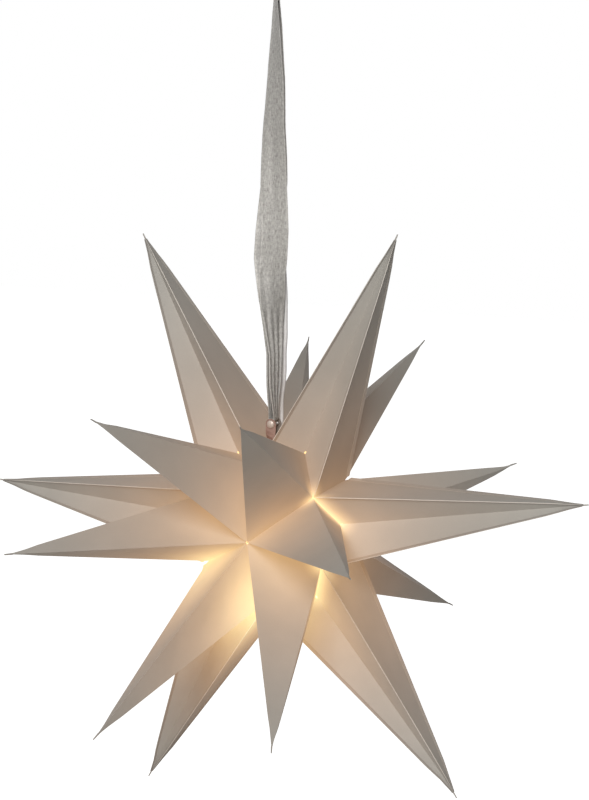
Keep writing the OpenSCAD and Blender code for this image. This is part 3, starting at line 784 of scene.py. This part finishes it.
knot_tone_and_sheen = knot_cloth.noise(knot_cloth.scaled(knot_places, (300, 300, 900)), 1, 4, 0.6)
# Mottle: partly the cloth's uneven tone, partly painted sheen and shade of the gathered ribbon's crumples.
knot_cloth.feed("Base Color", knot_cloth.mix(knot_cloth.range(knot_tone_and_sheen, 0.3, 0.7), (0.30, 0.285, 0.265),
                                             (0.62, 0.60, 0.57)))
knot_cloth.bump(knot_tone_and_sheen, 0.5, 0.0004)
dress(ribbon_knot, knot_cloth.material, "ribbon_fabric")
print("ribbon finished")

# %% [markdown]
# ## The tabs and the post
# Two brown card tabs close the star. A post with a pale domed cap goes through their round ends,
# and the ribbon goes round it. Their solids have the right shape, so they only get finishes; the
# rear tab's card is drawn darker, as painted shade.

# %% Tabs and post
tab_card = Finish("brown_tab_card", Roughness=0.6)
tab_grain = tab_card.noise(tab_card.places(), 700, 2, 0.6)
tab_cloud = tab_card.noise(tab_card.places(), 90, 3, 0.6)
tab_card.feed("Base Color", tab_card.mix(tab_card.range(tab_cloud, 0.3, 0.7), (0.26, 0.15, 0.12),
                                         (0.36, 0.23, 0.19)))
tab_card.feed("Roughness", tab_card.range(tab_grain, 0.3, 0.7, 0.55, 0.7))
tab_card.bump(tab_grain, 0.2, 0.0003)
# Painted shade: the rear tab is the same brown card, drawn darker for the shadow it hangs in.
shaded_rear_card = Finish("rear_tab_card_painted_shade", Roughness=0.6)
rear_grain = shaded_rear_card.noise(shaded_rear_card.places(), 700, 2, 0.6)
shaded_rear_card.feed("Base Color", shaded_rear_card.mix(shaded_rear_card.range(rear_grain, 0.3, 0.7), (0.19, 0.16, 0.14),
                                           (0.26, 0.22, 0.19)))
shaded_rear_card.bump(rear_grain, 0.2, 0.0003)
post_metal = Finish("lacquered_post", Roughness=0.35, Metallic=0.2)
post_cloud = post_metal.noise(post_metal.places(), 500, 3, 0.6)
post_metal.feed("Base Color", post_metal.mix(post_metal.range(post_cloud, 0.3, 0.7), (0.53, 0.44, 0.38),
                                             (0.62, 0.53, 0.47)))
post_metal.feed("Roughness", post_metal.range(post_cloud, 0.3, 0.7, 0.3, 0.45))
dress(NODES["front_tab"], tab_card.material)
dress(NODES["rear_tab"], shaded_rear_card.material)
dress(NODES["hanger_barrel"], post_metal.material)
dress(NODES["hanger_screw"], post_metal.material)
print("tabs and post finished")

# %% [markdown]
# ## Lamp, strap and plug
# The lamp holder, its contacts and the bulb hang inside the star. The strap and the plug are
# above the photograph, where the cord is put away. The strap is a cube opened at both ends,
# rounded at its corners and given its thickness. The plug is a cube that is tapered, rounded and
# smoothed.

# %% Plastic, brass and glass
def plastic(name, colour, low, high):
    """A moulded plastic with a faint mottle in its colour and gloss."""
    finish = Finish(name)
    mottle = finish.noise(finish.places(), 220, 3, 0.6)
    darker = tuple(c * 0.95 for c in colour)
    finish.feed("Base Color", finish.mix(finish.range(mottle, 0.3, 0.7), darker, colour))
    finish.feed("Roughness", finish.range(mottle, 0.3, 0.7, low, high))
    finish.bump(mottle, 0.05, 0.0003)
    return finish.material


white_plastic = plastic("white_holder_plastic", (0.80, 0.79, 0.76), 0.35, 0.45)
cord_plastic = plastic("white_cord_sheath", (0.80, 0.785, 0.775), 0.36, 0.46)
plug_plastic = plastic("white_plug_plastic", (0.82, 0.81, 0.79), 0.22, 0.34)
dress(lamp_lead, cord_plastic)
for name in ("cord_grip", "holder_top", "holder_body"):
    dress(NODES[name], white_plastic)
brass = Finish("brass_contacts", Metallic=1.0)
brass_cloud = brass.noise(brass.places(), 300, 3, 0.6)
brass.feed("Base Color", brass.mix(brass.range(brass_cloud, 0.3, 0.7), (0.62, 0.42, 0.16),
                                   (0.74, 0.53, 0.24)))
brass.feed("Roughness", brass.range(brass_cloud, 0.3, 0.7, 0.25, 0.4))
dress(NODES["screw_sleeve"], brass.material)
dress(NODES["centre_contact"], brass.material)
pin_metal = Finish("nickel_pins", Metallic=1.0)
pin_lines = pin_metal.noise(pin_metal.scaled(pin_metal.places(), (900, 900, 60)), 1, 3, 0.6)
pin_metal.feed("Base Color", pin_metal.mix(pin_metal.range(pin_lines, 0.3, 0.7), (0.58, 0.57, 0.54),
                                           (0.70, 0.69, 0.66)))
pin_metal.feed("Roughness", pin_metal.range(pin_lines, 0.3, 0.7, 0.22, 0.38))
dress(NODES["plug_pins"], pin_metal.material)
bulb_glass = Finish("frosted_bulb", Roughness=0.4)
bulb_places = bulb_glass.places()
bulb_height = bulb_glass.node("ShaderNodeSeparateXYZ", None, {"Vector": bulb_places}, out=2)
bulb_base = bulb_glass.range(bulb_height, -0.6548, -0.6542)
bulb_frost = bulb_glass.noise(bulb_places, 60, 2, 0.5)
bulb_glass.feed("Base Color", bulb_glass.mix(bulb_base, (0.86, 0.82, 0.74), (0.60, 0.58, 0.55)))
bulb_glass.feed("Metallic", bulb_base)
bulb_glass.feed("Emission Color", bulb_glass.mix(bulb_base, (1.0, 0.80, 0.52), (0, 0, 0)))
bulb_glass.shader.inputs["Emission Strength"].default_value = 1.5
bulb_glass.feed("Roughness", bulb_glass.range(bulb_frost, 0.3, 0.7, 0.3, 0.42))
dress(NODES["bulb"], bulb_glass.material)
print("lamp finished")

# %% Strap
deselect()
strap_low, strap_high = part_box("cord_tie")
strap_thickness, strap_corner = 0.0012, 0.0042
middle = (Vector(strap_low) + Vector(strap_high)) / 2
size = Vector(strap_high) - Vector(strap_low) - Vector((2, 2, 0)) * strap_thickness
bpy.ops.mesh.primitive_cube_add(size=1, location=middle)
strap = bpy.context.object
strap.name = strap.data.name = "coil_strap"
strap.scale = size
settle(strap)
edit(strap, "EDGE")
pick(strap, "EDGE", lambda m, d: abs(d.z) > 0.9)
bpy.ops.mesh.bevel(offset=strap_corner, segments=6)
bpy.ops.mesh.select_mode(type="FACE")
bpy.ops.mesh.select_all(action="DESELECT")
pick(strap, "FACE", lambda m, n: abs(n.z) > 0.9)
bpy.ops.mesh.delete(type="FACE")
bpy.ops.object.mode_set(mode="OBJECT")
apply(strap, "SOLIDIFY", thickness=strap_thickness, offset=1)
apply(strap, "BEVEL", width=0.0003, segments=2, limit_method="ANGLE", angle_limit=math.radians(50))
bpy.ops.mesh.primitive_cube_add(size=1, location=(strap_high[0] - 0.0002, middle.y + 0.002, middle.z))
overlap = bpy.context.object
overlap.scale = (strap_thickness, 0.016, size.z)
settle(overlap)
apply(overlap, "BEVEL", width=0.0004, segments=2)
select_only(strap)
overlap.select_set(True)
bpy.ops.object.join()
select_only(strap)
bpy.ops.object.shade_smooth_by_angle(angle=math.radians(30))
weave = Finish("woven_strap", Roughness=0.8)
weave_places = weave.places()
weave_a = weave.noise(weave.scaled(weave_places, (500, 500, 2600)), 1, 2, 0.6)
weave_b = weave.noise(weave.scaled(weave_places, (2400, 2400, 400)), 1, 2, 0.6)
weave.feed("Base Color", weave.mix(weave.range(weave_a + weave_b, 0.7, 1.3), (0.52, 0.51, 0.50),
                                   (0.72, 0.71, 0.70)))
weave.bump(weave_a + weave_b, 0.6, 0.0003)
dress(strap, weave.material, "tie_fabric")
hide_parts("cord_tie")
print("strap points:", len(strap.data.vertices))

# %% Plug
deselect()
plug_low, plug_high = (Vector(c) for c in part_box("plug_body"))
relief_h, relief_steps, groove_share, plug_corner = 0.018, 18, 0.84, 0.0026
body_top = plug_high.z - relief_h
middle = (plug_low + plug_high) / 2
bpy.ops.mesh.primitive_cube_add(size=1, location=(middle.x, middle.y, (plug_low.z + body_top) / 2))
plug = bpy.context.object
plug.name = plug.data.name = "flat_plug"
plug.scale = (plug_high.x - plug_low.x, plug_high.y - plug_low.y, body_top - plug_low.z)
settle(plug)
edit(plug)
bpy.ops.mesh.select_all(action="SELECT")
for share in (0.12, 0.38, 0.62, 0.8, 0.93):
    bpy.ops.mesh.select_all(action="SELECT")
    bpy.ops.mesh.bisect(plane_co=(0, 0, plug_low.z + share * (body_top - plug_low.z)), plane_no=(0, 0, 1))
for share, narrow in ((0.62, 0.86), (0.8, 0.62), (0.93, 0.42), (1.0, 0.36)):
    bpy.ops.mesh.select_mode(type="VERT")
    bpy.ops.mesh.select_all(action="DESELECT")
    height = plug_low.z + share * (body_top - plug_low.z)
    pick(plug, "VERT", lambda m, n: abs(m.z - height) < 0.0003)
    bpy.ops.transform.resize(value=(1, narrow, 1), center_override=(middle.x, middle.y, height))
bpy.ops.object.mode_set(mode="OBJECT")
apply(plug, "BEVEL", width=plug_corner, segments=4, limit_method="ANGLE", angle_limit=math.radians(60))
select_only(plug)
bpy.ops.object.shade_smooth_by_angle(angle=math.radians(30))
bpy.ops.mesh.primitive_cone_add(vertices=48, radius1=0.005, radius2=cord_d / 2 + 0.0006, depth=relief_h,
                                location=(middle.x, middle.y, body_top + relief_h / 2 - 0.0002))
relief = bpy.context.object
settle(relief)
edit(relief)
for i in range(1, relief_steps):
    bpy.ops.mesh.select_all(action="SELECT")
    bpy.ops.mesh.bisect(plane_co=(0, 0, body_top + relief_h * i / relief_steps), plane_no=(0, 0, 1))
bpy.ops.object.mode_set(mode="OBJECT")
for vertex in relief.data.vertices:
    ring = (vertex.co.z - body_top) / relief_h * relief_steps
    if 1 < ring < 16.5 and int(round(ring)) % 3 == 0:
        vertex.co.x = middle.x + (vertex.co.x - middle.x) * groove_share
        vertex.co.y = middle.y + (vertex.co.y - middle.y) * groove_share
select_only(plug)
relief.select_set(True)
bpy.ops.object.join()
select_only(plug)
bpy.ops.object.shade_smooth_by_angle(angle=math.radians(40))
dress(plug, plug_plastic, "plug_plastic")
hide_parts("plug_body")
print("plug points:", len(plug.data.vertices))

# %% [markdown]
# ## Floor, light and view
# The room is plain: a pale floor well below the star, and one soft lamp in front of it, a little
# above and to the left of the camera. That was worked out from which faces of the star the
# photograph shows light and which dark. The background is white for the camera only, so it adds
# no light to the object.

# %% Floor
deselect()
floor_side, floor_drop, camera_glow = 14, 0.95, 0.95
bpy.ops.mesh.primitive_plane_add(size=floor_side, location=(0, 0, CENTRE.z - floor_drop))
floor = bpy.context.object
floor.name = "floor"
floor_finish = Finish("pale_floor", Roughness=0.9)
floor_finish.shader.inputs["Base Color"].default_value = (0.8, 0.8, 0.79, 1)
rays = floor_finish.tree.nodes.new("ShaderNodeLightPath")
white = floor_finish.tree.nodes.new("ShaderNodeEmission")
white.inputs["Color"].default_value = (1, 1, 1, 1)
white.inputs["Strength"].default_value = camera_glow
both = floor_finish.tree.nodes.new("ShaderNodeAddShader")
chosen = floor_finish.tree.nodes.new("ShaderNodeMixShader")
link = floor_finish.tree.links.new
link(floor_finish.shader.outputs[0], both.inputs[0])
link(white.outputs[0], both.inputs[1])
link(rays.outputs["Is Camera Ray"], chosen.inputs[0])
link(floor_finish.shader.outputs[0], chosen.inputs[1])
link(both.outputs[0], chosen.inputs[2])
link(chosen.outputs[0], floor_finish.tree.nodes["Material Output"].inputs[0])
floor.data.materials.append(floor_finish.material)
print("floor at", round(floor.location.z, 3))


# %% Light
def area_light(name, place, target, size, power, colour):
    """A square soft lamp that looks at a point."""
    data = bpy.data.lights.new(name, "AREA")
    data.size, data.energy, data.color = size, power, colour
    lamp = bpy.data.objects.new(name, data)
    lamp.location = place
    lamp.rotation_euler = (Vector(target) - Vector(place)).to_track_quat("-Z", "Y").to_euler()
    lamp.visible_camera = False
    bpy.context.scene.collection.objects.link(lamp)
    return lamp


key_side, key_height = math.radians(14), math.radians(29)
key_away, key_size, key_power, room_level = 5.2, 2.0, 208, 0.12
level = math.cos(key_height)
key_direction = Vector((math.sin(key_side) * level, -math.cos(key_side) * level, math.sin(key_height)))
area_light("key", CENTRE + key_away * key_direction, CENTRE, key_size, key_power, (1.0, 0.99, 0.975))
world = bpy.data.worlds.new("room")
bpy.context.scene.world = world
world.use_nodes = True
nodes, link = world.node_tree.nodes, world.node_tree.links.new
for node in list(nodes):
    nodes.remove(node)
soft = nodes.new("ShaderNodeBackground")
soft.inputs["Color"].default_value = (1, 0.995, 0.985, 1)
soft.inputs["Strength"].default_value = room_level
white_wall = nodes.new("ShaderNodeBackground")
white_wall.inputs["Color"].default_value = (1, 1, 1, 1)
white_wall.inputs["Strength"].default_value = 1
rays = nodes.new("ShaderNodeLightPath")
seen = nodes.new("ShaderNodeMath")
seen.operation = "MAXIMUM"
link(rays.outputs["Is Camera Ray"], seen.inputs[0])
link(rays.outputs["Is Glossy Ray"], seen.inputs[1])
also = nodes.new("ShaderNodeMath")
also.operation = "MAXIMUM"
link(seen.outputs[0], also.inputs[0])
link(rays.outputs["Is Transmission Ray"], also.inputs[1])
picked = nodes.new("ShaderNodeMixShader")
link(also.outputs[0], picked.inputs[0])
link(soft.outputs[0], picked.inputs[1])
link(white_wall.outputs[0], picked.inputs[2])
link(picked.outputs[0], nodes.new("ShaderNodeOutputWorld").inputs[0])
bpy.context.scene.view_settings.view_transform = "Standard"
print("one soft lamp and a room light")
